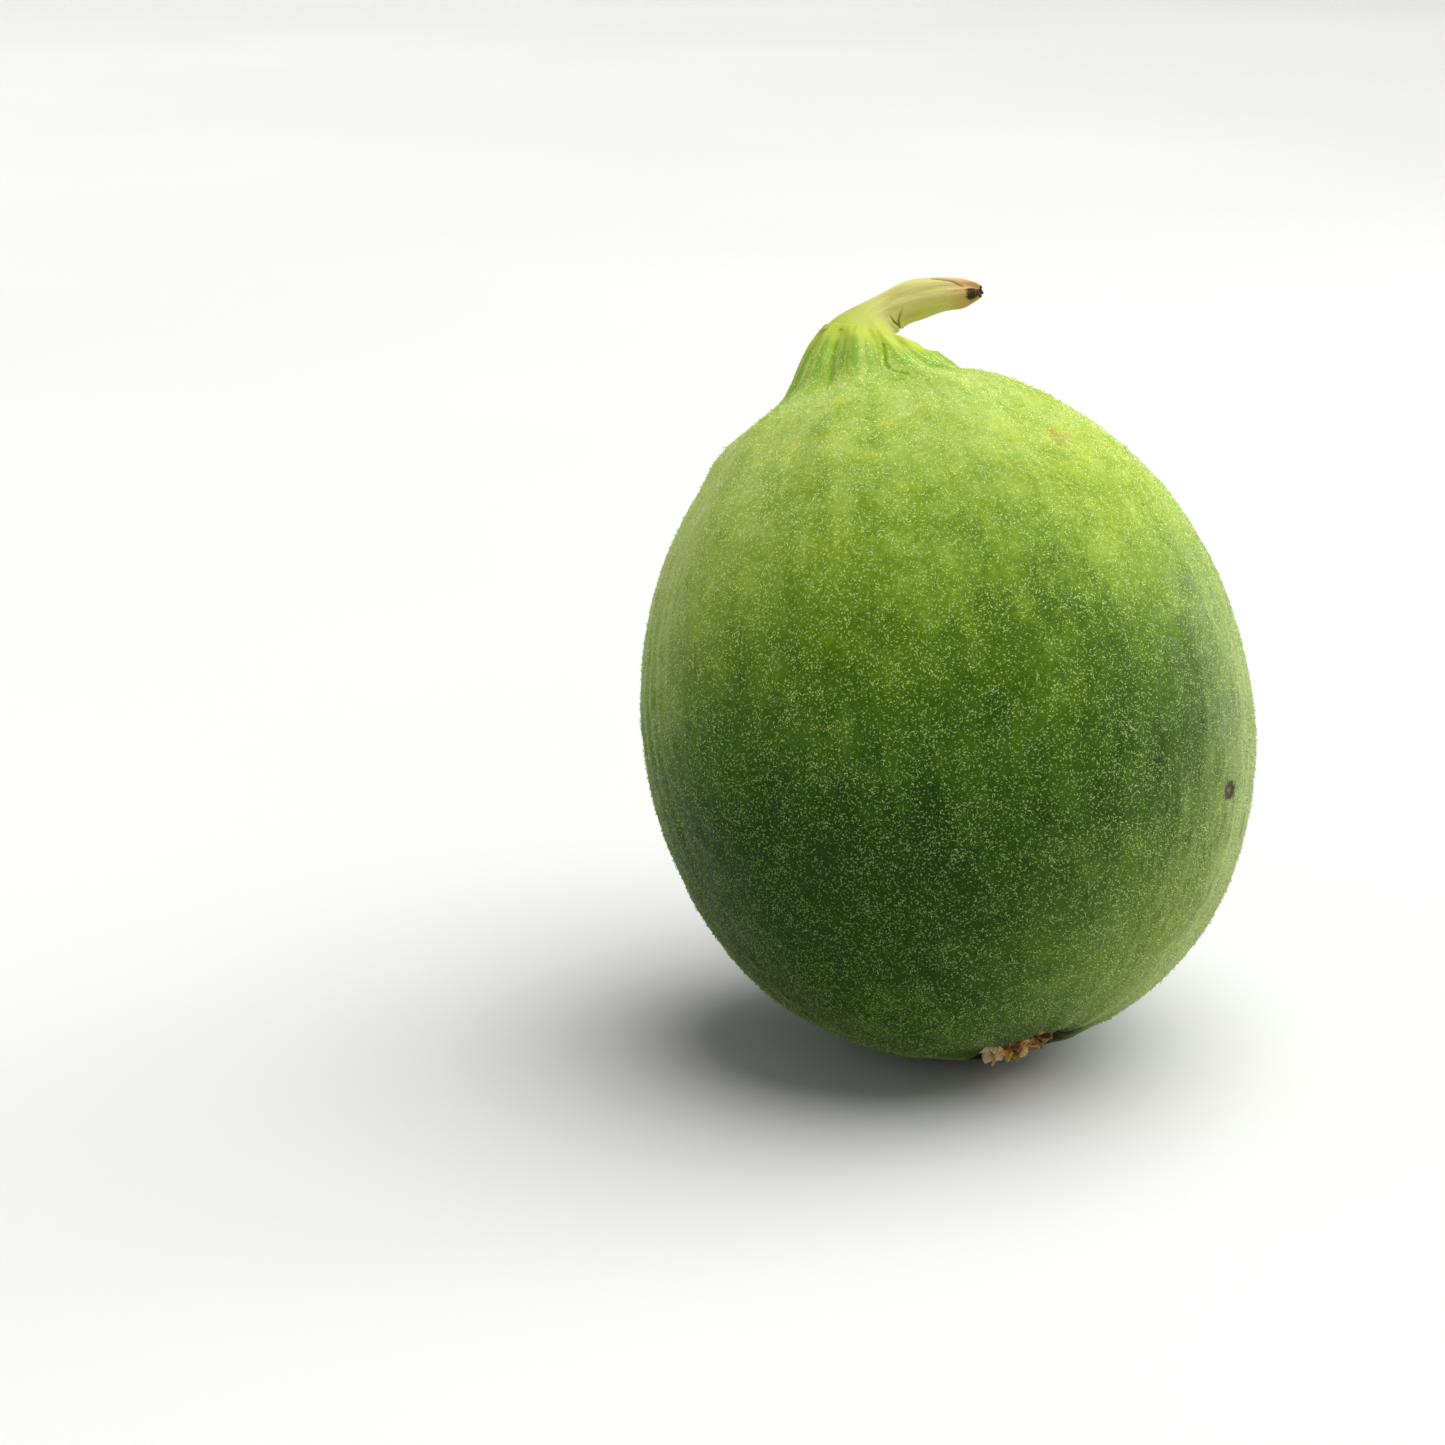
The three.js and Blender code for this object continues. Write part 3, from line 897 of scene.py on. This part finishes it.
class Shader:
    """A material being built, with a short call for each kind of node."""

    def __init__(self, name, **surface):
        self.material = bpy.data.materials.new(name)
        self.material.use_nodes = True
        self.tree = self.material.node_tree
        self.surface = self.tree.nodes["Principled BSDF"]
        for socket, value in surface.items():
            self.surface.inputs[socket.replace("_", " ")].default_value = value

    def add(self, kind, inputs, output=0, **settings):
        node = self.tree.nodes.new("ShaderNode" + kind)
        for name, value in settings.items():
            setattr(node, name, value)
        for name, value in inputs.items():
            self.feed(node.inputs[name], value)
        return node.outputs[output]

    def feed(self, socket, value):
        if isinstance(value, bpy.types.NodeSocket):
            self.tree.links.new(value, socket)
        else:
            socket.default_value = value

    def give(self, socket, value):
        self.feed(self.surface.inputs[socket], value)

    def place(self):
        return self.add("TexCoord", {}, "Object")

    def value(self, name):
        return self.add("Attribute", {}, "Fac", attribute_name=name)

    def vector(self, name):
        return self.add("Attribute", {}, "Vector", attribute_name=name)

    def noise(self, vector, size, detail=2.0, roughness=0.5, distortion=0.0):
        """Noise whose patches are about size across, in the vector's own unit."""
        inputs = {"Vector": vector, "Scale": 1 / size, "Detail": detail}
        inputs.update({"Roughness": roughness, "Distortion": distortion})
        return self.add("TexNoise", inputs, "Fac")

    def cells(self, vector, size, randomness=1.0):
        inputs = {"Vector": vector, "Scale": 1 / size, "Randomness": randomness}
        return self.add("TexVoronoi", inputs, "Distance")

    def math(self, operation, a, b=0.0, clamp=False):
        return self.add("Math", {0: a, 1: b}, operation=operation, use_clamp=clamp)

    def about(self, noise, amount):
        """Noise that varies about zero, by the given amount."""
        return self.math("MULTIPLY", self.math("SUBTRACT", noise, 0.5), amount)

    def span(self, value, low, high, to_low=0.0, to_high=1.0):
        """Maps low..high smoothly to to_low..to_high."""
        inputs = {"Value": value, "From Min": low, "From Max": high, "To Min": to_low, "To Max": to_high}
        return self.add("MapRange", inputs, interpolation_type="SMOOTHSTEP")

    def mix(self, share, a, b, blend="MIX"):
        inputs = {0: share, 6: a, 7: b}
        return self.add("Mix", inputs, 2, data_type="RGBA", blend_type=blend)

    def ramp(self, value, stops):
        node = self.tree.nodes.new("ShaderNodeValToRGB")
        while len(node.color_ramp.elements) < len(stops):
            node.color_ramp.elements.new(0.5)
        for element, (position, code) in zip(node.color_ramp.elements, stops):
            element.position = position
            element.color = colour(code)
        self.feed(node.inputs["Fac"], value)
        return node.outputs["Color"]

    def distance(self, vector, spot, stretch=(1, 1, 1)):
        """Distance from a spot, with each axis stretched."""
        offset = self.add("VectorMath", {0: vector, 1: spot}, operation="SUBTRACT")
        scaled = self.add("VectorMath", {0: offset, 1: stretch}, operation="MULTIPLY")
        return self.add("VectorMath", {0: scaled}, "Value", operation="LENGTH")

    def bump(self, height, distance, strength=1.0, normal=None):
        inputs = {"Height": height, "Distance": distance, "Strength": strength}
        if normal is not None:
            inputs["Normal"] = normal
        return self.add("Bump", inputs, "Normal")


def skin_material():
    s = Shader(
        "downy_skin",
        Sheen_Weight=0.28,
        Sheen_Roughness=0.28,
        Sheen_Tint=colour("#dce696"),
        Specular_IOR_Level=0.09,
        Subsurface_Weight=0.08,
        Subsurface_Radius=(1.0, 1.2, 0.3),
        Subsurface_Scale=1.2 * MM,
    )
    place, own, streak = s.place(), s.vector("own"), s.vector("streak")
    papilla = s.span(s.cells(place, 0.55 * MM), 0.16, 0.34, 1.0, 0.0)
    pale = uneven_paleness(s, own, streak)
    base = add_patches(s, own, s.ramp(pale, SKIN_GREENS))
    base = add_dust_and_sheen(s, streak, base)
    base = add_bumps(s, own, papilla, pale, base)
    base = add_neck(s, streak, base)
    base = add_pit_shade(s, own, base)
    base = add_blotch(s, own, base)
    base = add_scar(s, own, base)
    base = add_pin_spots(s, own, base)
    s.give("Base Color", base)
    s.give("Roughness", s.span(s.noise(own, 3, 3), 0.3, 0.7, 0.46, 0.64))

    fine = s.bump(s.noise(place, 0.5 * MM, 3, 0.6), 0.07 * MM, 0.6)
    bumpy = s.bump(papilla, 0.04 * MM, 0.7, fine)
    s.give("Normal", s.bump(s.noise(own, 2.4, 3, 0.55), 0.3 * MM, 0.5, bumpy))
    return s.material


def uneven_paleness(s, own, streak):
    """The paleness stored on the skin, made uneven by patches, streaks and specks."""
    pale = s.value("pale")
    for noise, amount in (
        (s.noise(own, 15, 2), 0.36),
        (s.noise(own, 5, 3, 0.55), 0.4),
        (s.noise(streak, 3.0, 3, 0.55), 0.36),
        (s.noise(own, 0.9, 3, 0.6), 0.42),
    ):
        pale = s.math("ADD", pale, s.about(noise, amount))
    return pale


def add_patches(s, own, base):
    """Patches that are more yellow or more blue green. The side that had the sun is yellow."""
    yellow = s.span(s.noise(own, 6, 3, 0.55), 0.47, 0.62, 0.0, 0.65)
    sunny = s.distance(own, skin_spot(*SUN_PATCH))
    sunny = s.math("ADD", sunny, s.about(s.noise(own, 8, 3), 26.0))
    sunny = s.span(sunny, SUN_PATCH_SIZE * 0.3, SUN_PATCH_SIZE * 1.3, 1.0, 0.0)
    base = s.mix(s.math("MAXIMUM", yellow, sunny), base, (1.16, 1.04, 0.66, 1), "MULTIPLY")
    cool = s.span(s.noise(own, 4.2, 3, 0.5, 0.4), 0.5, 0.68, 0.0, 0.9)
    return s.mix(cool, base, (0.84, 0.94, 0.84, 1), "MULTIPLY")


def add_dust_and_sheen(s, streak, base):
    """Dense down that greys the flanks, in lengthwise lines, with painted sheen on the flanks seen
    edge-on.
    """
    lines = s.about(s.noise(streak, 1.0, 4, 0.65), 3.0)
    dusty = s.math("MULTIPLY", s.value("dusty"), s.math("ADD", 0.75, lines), True)
    return s.mix(s.math("MULTIPLY", dusty, 0.85), base, colour("#9dab60"))


def add_bumps(s, own, papilla, pale, base):
    """Small pale bumps between the hairs."""
    where = s.span(s.noise(own, 1.5, 2), 0.36, 0.56)
    dots = s.math("MULTIPLY", papilla, where)
    # The bumps follow the skin's paleness, so they dim where shade is painted
    light = s.mix(pale, colour("#8ba552"), colour("#cddb8e"))
    return s.mix(s.math("MULTIPLY", dots, 0.6), base, light)


def add_neck(s, streak, base):
    """A bright collar with green tongues below it, and creases that hold more colour."""
    height = s.value("height")
    base = s.mix(s.span(height, 0.945, 0.99), base, colour(COLLAR_COLOUR))
    tongues = s.span(s.noise(streak, 2.4, 3), 0.42, 0.6)
    tongues = s.math("MULTIPLY", tongues, s.span(height, 0.9, 0.95))
    tongues = s.math("MULTIPLY", tongues, s.span(height, 0.965, 0.985, 1.0, 0.0))
    base = s.mix(s.math("MULTIPLY", tongues, 0.7), base, colour("#6a9a2e"))
    return s.mix(s.math("MULTIPLY", s.value("crease"), 0.7), base, colour("#7fa814"))


def add_pit_shade(s, own, base):
    """Painted shade: the skin darkens towards the flower's pit, dark green round it and dark brown
    inside.
    """
    pit = s.math("MULTIPLY", s.value("pit"), s.span(s.noise(own, 1.4, 3), 0.3, 0.7, 0.7, 1.3))
    base = s.mix(s.span(pit, 0.1, 0.6, 0.0, 0.85), base, colour("#16230a"))
    return s.mix(s.span(pit, 0.6, 0.9, 0.0, 0.95), base, colour("#2a2010"))


def add_blotch(s, own, base):
    """A pale brown blotch with a ragged edge."""
    gap = s.math("ADD", s.distance(own, skin_spot(*BLOTCH)), s.about(s.noise(own, 1.5, 3), 6.0))
    return s.mix(s.span(gap, 0.3, BLOTCH_SIZE, 0.55, 0.0), base, colour("#a08a3e"))


def add_scar(s, own, base):
    """A dry brown scar with a paler middle, ragged at its edge."""
    stretch = (1 / SCAR_SIZE[1], 1 / SCAR_SIZE[1], 1 / SCAR_SIZE[0])
    gap = s.math("ADD", s.distance(own, skin_spot(*SCAR), stretch), s.about(s.noise(own, 0.7, 3), 0.9))
    base = s.mix(s.span(gap, 0.8, 1.3, 0.97, 0.0), base, colour("#241006"))
    return s.mix(s.span(gap, 0.1, 0.5, 0.7, 0.0), base, colour("#8a6444"))


def add_pin_spots(s, own, base):
    """Small dark specks."""
    for *spot, size in PIN_SPOTS:
        gap = s.distance(own, skin_spot(*spot))
        base = s.mix(s.span(gap, size * 0.5, size, 0.9, 0.0), base, colour("#2c2410"))
    return base


def down_material():
    s = Shader("down_hair", Roughness=0.55, Specular_IOR_Level=0.15)
    # The tone follows the skin's paleness, painted shade included
    base = s.ramp(s.value("tone"), DOWN_GREENS)
    grain = s.span(s.noise(s.place(), 3 * MM), 0.35, 0.65, 0.0, 0.4)
    base = s.mix(grain, base, (0.85, 0.95, 0.75, 1), "MULTIPLY")
    # Hairs grey where the down is dense and where sheen is painted on the flanks
    s.give("Base Color", s.mix(s.math("MULTIPLY", s.value("dusty"), 0.6), base, colour("#b9c49a")))
    return s.material


def stem_material():
    s = Shader(
        "green_stem",
        Sheen_Weight=0.28,
        Sheen_Roughness=0.28,
        Sheen_Tint=colour("#dfe6ac"),
        Specular_IOR_Level=0.2,
        Subsurface_Weight=0.1,
        Subsurface_Radius=(1.0, 1.0, 0.35),
        Subsurface_Scale=1.5 * MM,
    )
    place, streak = s.place(), s.vector("streak")
    along = s.math("ADD", s.value("along"), s.about(s.noise(place, 3 * MM), 0.16))
    base = s.ramp(along, STEM_YELLOWS)
    base = s.mix(s.span(s.noise(streak, 1.3, 3), 0.42, 0.66, 0.0, 0.45), base, colour("#acae50"))
    base = s.mix(s.span(s.noise(place, 1.2 * MM, 3), 0.45, 0.7, 0.0, 0.35), base, colour("#ccc585"))
    base = s.mix(s.span(s.value("along"), 0.02, 0.26, 1.0, 0.0), base, colour(COLLAR_COLOUR))

    # The tip is dry and brown with a ragged edge, the folds are darker and the cut is charred.
    ragged = s.about(s.noise(streak, 0.8, 4, 0.6), 0.8)
    dry = s.math("ADD", s.value("dry"), ragged)
    base = s.mix(s.span(dry, 0.3, 0.95, 0.0, 0.9), base, colour("#cba468"))
    base = s.mix(s.math("MULTIPLY", s.value("crease"), 0.8), base, colour("#6b5a1c"))
    black = s.math("ADD", s.value("black"), s.math("MULTIPLY", ragged, 1.3))
    base = s.mix(s.span(black, 0.3, 0.6, 0.0, 0.96), base, colour("#231f12"))
    fleck = s.math("MULTIPLY", s.span(s.noise(place, 0.35 * MM, 3), 0.58, 0.7), s.span(black, 0.5, 0.8))
    base = s.mix(fleck, base, colour("#8f8560"))
    s.give("Base Color", base)
    s.give("Roughness", s.span(dry, 0.2, 0.9, 0.48, 0.8))
    grain = s.bump(s.noise(streak, 0.6, 3), 0.12 * MM, 0.6)
    s.give("Normal", s.bump(s.noise(place, 0.35 * MM, 3), 0.08 * MM, 0.6, grain))
    return s.material


def flower_material():
    s = Shader("dried_petals", Sheen_Weight=0.1, Specular_IOR_Level=0.25)
    place = s.place()
    patch = s.math("ADD", s.value("tone"), s.about(s.noise(place, 1.8 * MM, 4, 0.6), 1.6))
    base = s.ramp(patch, PETAL_BROWNS)
    veins = s.span(s.noise(place, 0.45 * MM, 3), 0.35, 0.65, 0.72, 1.15)
    base = s.mix(1.0, base, veins, "MULTIPLY")
    s.give("Base Color", base)
    s.give("Roughness", s.span(patch, 0.0, 1.0, 0.9, 0.65))
    s.give("Normal", s.bump(s.noise(place, 0.4 * MM, 4, 0.65), 0.1 * MM, 0.7))
    return s.material


def floor_material():
    s = Shader("pale_floor", Roughness=0.9, Specular_IOR_Level=0.1)
    grain = s.noise(s.place(), 0.4, 2)
    s.give("Base Color", s.mix(s.span(grain, 0.3, 0.7), colour("#cdcdcb"), colour("#d1d1cf")))
    return s.material


# ------------------------ floor, lights and camera


def make_floor(size):
    """A round floor whose edge sweeps up into a wall, so that no horizon shows."""
    rings, segments = 40, 96
    share = np.linspace(0, 1, rings)
    reach = size * np.minimum(1, share * 1.25)
    rise = size * 0.6 * smoothstep(share, 0.55, 1.1) ** 2
    angle = np.linspace(0, 2 * math.pi, segments, endpoint=False)
    reach, angle = np.meshgrid(reach, angle, indexing="ij")
    points = np.stack([reach * np.cos(angle), reach * np.sin(angle), 0 * reach + rise[:, None]], axis=-1)
    ring, segment = np.meshgrid(np.arange(rings - 1), np.arange(segments), indexing="ij")
    here, beside = ring * segments + segment, ring * segments + (segment + 1) % segments
    quads = np.stack([here, here + segments, beside + segments, beside], axis=-1).reshape(-1, 4)
    mesh = bpy.data.meshes.new("floor")
    mesh.from_pydata(points.reshape(-1, 3).tolist(), [], quads.tolist())
    mesh.shade_smooth()
    mesh.materials.append(floor_material())
    floor = bpy.data.objects.new("floor", mesh)
    bpy.context.collection.objects.link(floor)


def make_sun(strength, spread, direction):
    """A very wide, even light from far away, so that the floor is lit alike all over."""
    light = bpy.data.lights.new("overhead", "SUN")
    light.energy = strength
    light.angle = math.radians(spread)
    lamp = bpy.data.objects.new("overhead", light)
    lamp.rotation_euler = Vector(direction).to_track_quat("Z", "Y").to_euler()
    bpy.context.collection.objects.link(lamp)


def make_panel(name, place, aim, size, power):
    light = bpy.data.lights.new(name, "AREA")
    light.shape = "DISK"
    light.size = size
    light.energy = power
    lamp = bpy.data.objects.new(name, light)
    lamp.location = place
    lamp.rotation_euler = (aim - place).to_track_quat("-Z", "Y").to_euler()
    bpy.context.collection.objects.link(lamp)


def make_world(strength):
    world = bpy.data.worlds.new("soft_room")
    world.use_nodes = True
    world.node_tree.nodes["Background"].inputs["Color"].default_value = (1, 1, 1, 1)
    world.node_tree.nodes["Background"].inputs["Strength"].default_value = strength
    bpy.context.scene.world = world


def make_camera(low, high):
    """Looks down a little, from in front, with the fruit right of the middle of the frame."""
    width, height = high.x - low.x, high.z - low.z
    aim = Vector((CAMERA_AIM[0] * width, 0, low.z + CAMERA_AIM[1] * height))
    elevation = math.radians(CAMERA_ELEVATION)
    back = Vector((0, -math.cos(elevation), math.sin(elevation)))
    camera = bpy.data.cameras.new("camera")
    camera.lens = CAMERA_LENS
    camera.sensor_width = 36
    camera.clip_end = 100
    seat = bpy.data.objects.new("camera", camera)
    seat.location = aim + back * CAMERA_DISTANCE * width
    seat.rotation_euler = (-back).to_track_quat("-Z", "Y").to_euler()
    bpy.context.collection.objects.link(seat)
    bpy.context.scene.camera = seat


def light_scene(low, high):
    size = (high - low).length
    middle = (low + high) / 2
    make_floor(FLOOR_SIZE * size)
    make_world(ROOM_STRENGTH)
    make_sun(SUN_STRENGTH, SUN_SPREAD, SUN_DIRECTION)
    rim = middle + Vector(RIM_DIRECTION) * RIM_DISTANCE * size
    make_panel("right_rim", rim, middle, RIM_SIZE * size, RIM_POWER)
    view = bpy.context.scene.view_settings
    view.view_transform = "Standard"
    view.look = "None"


skin = make_skin(skin_material())
make_stem(stem_material())
make_flower(flower_material())
hair = down_material()
for band, (low, hairs_end, stubble_end) in enumerate(DOWN_BANDS):
    make_hairs(f"down_hairs_{band + 1}", hair, skin, low, hairs_end, HAIRS, band)
    make_stubble(f"down_stubble_{band + 1}", hair, skin, low, stubble_end, STUBBLE, 10 + band)
light_scene(*cad_box)
make_camera(*cad_box)
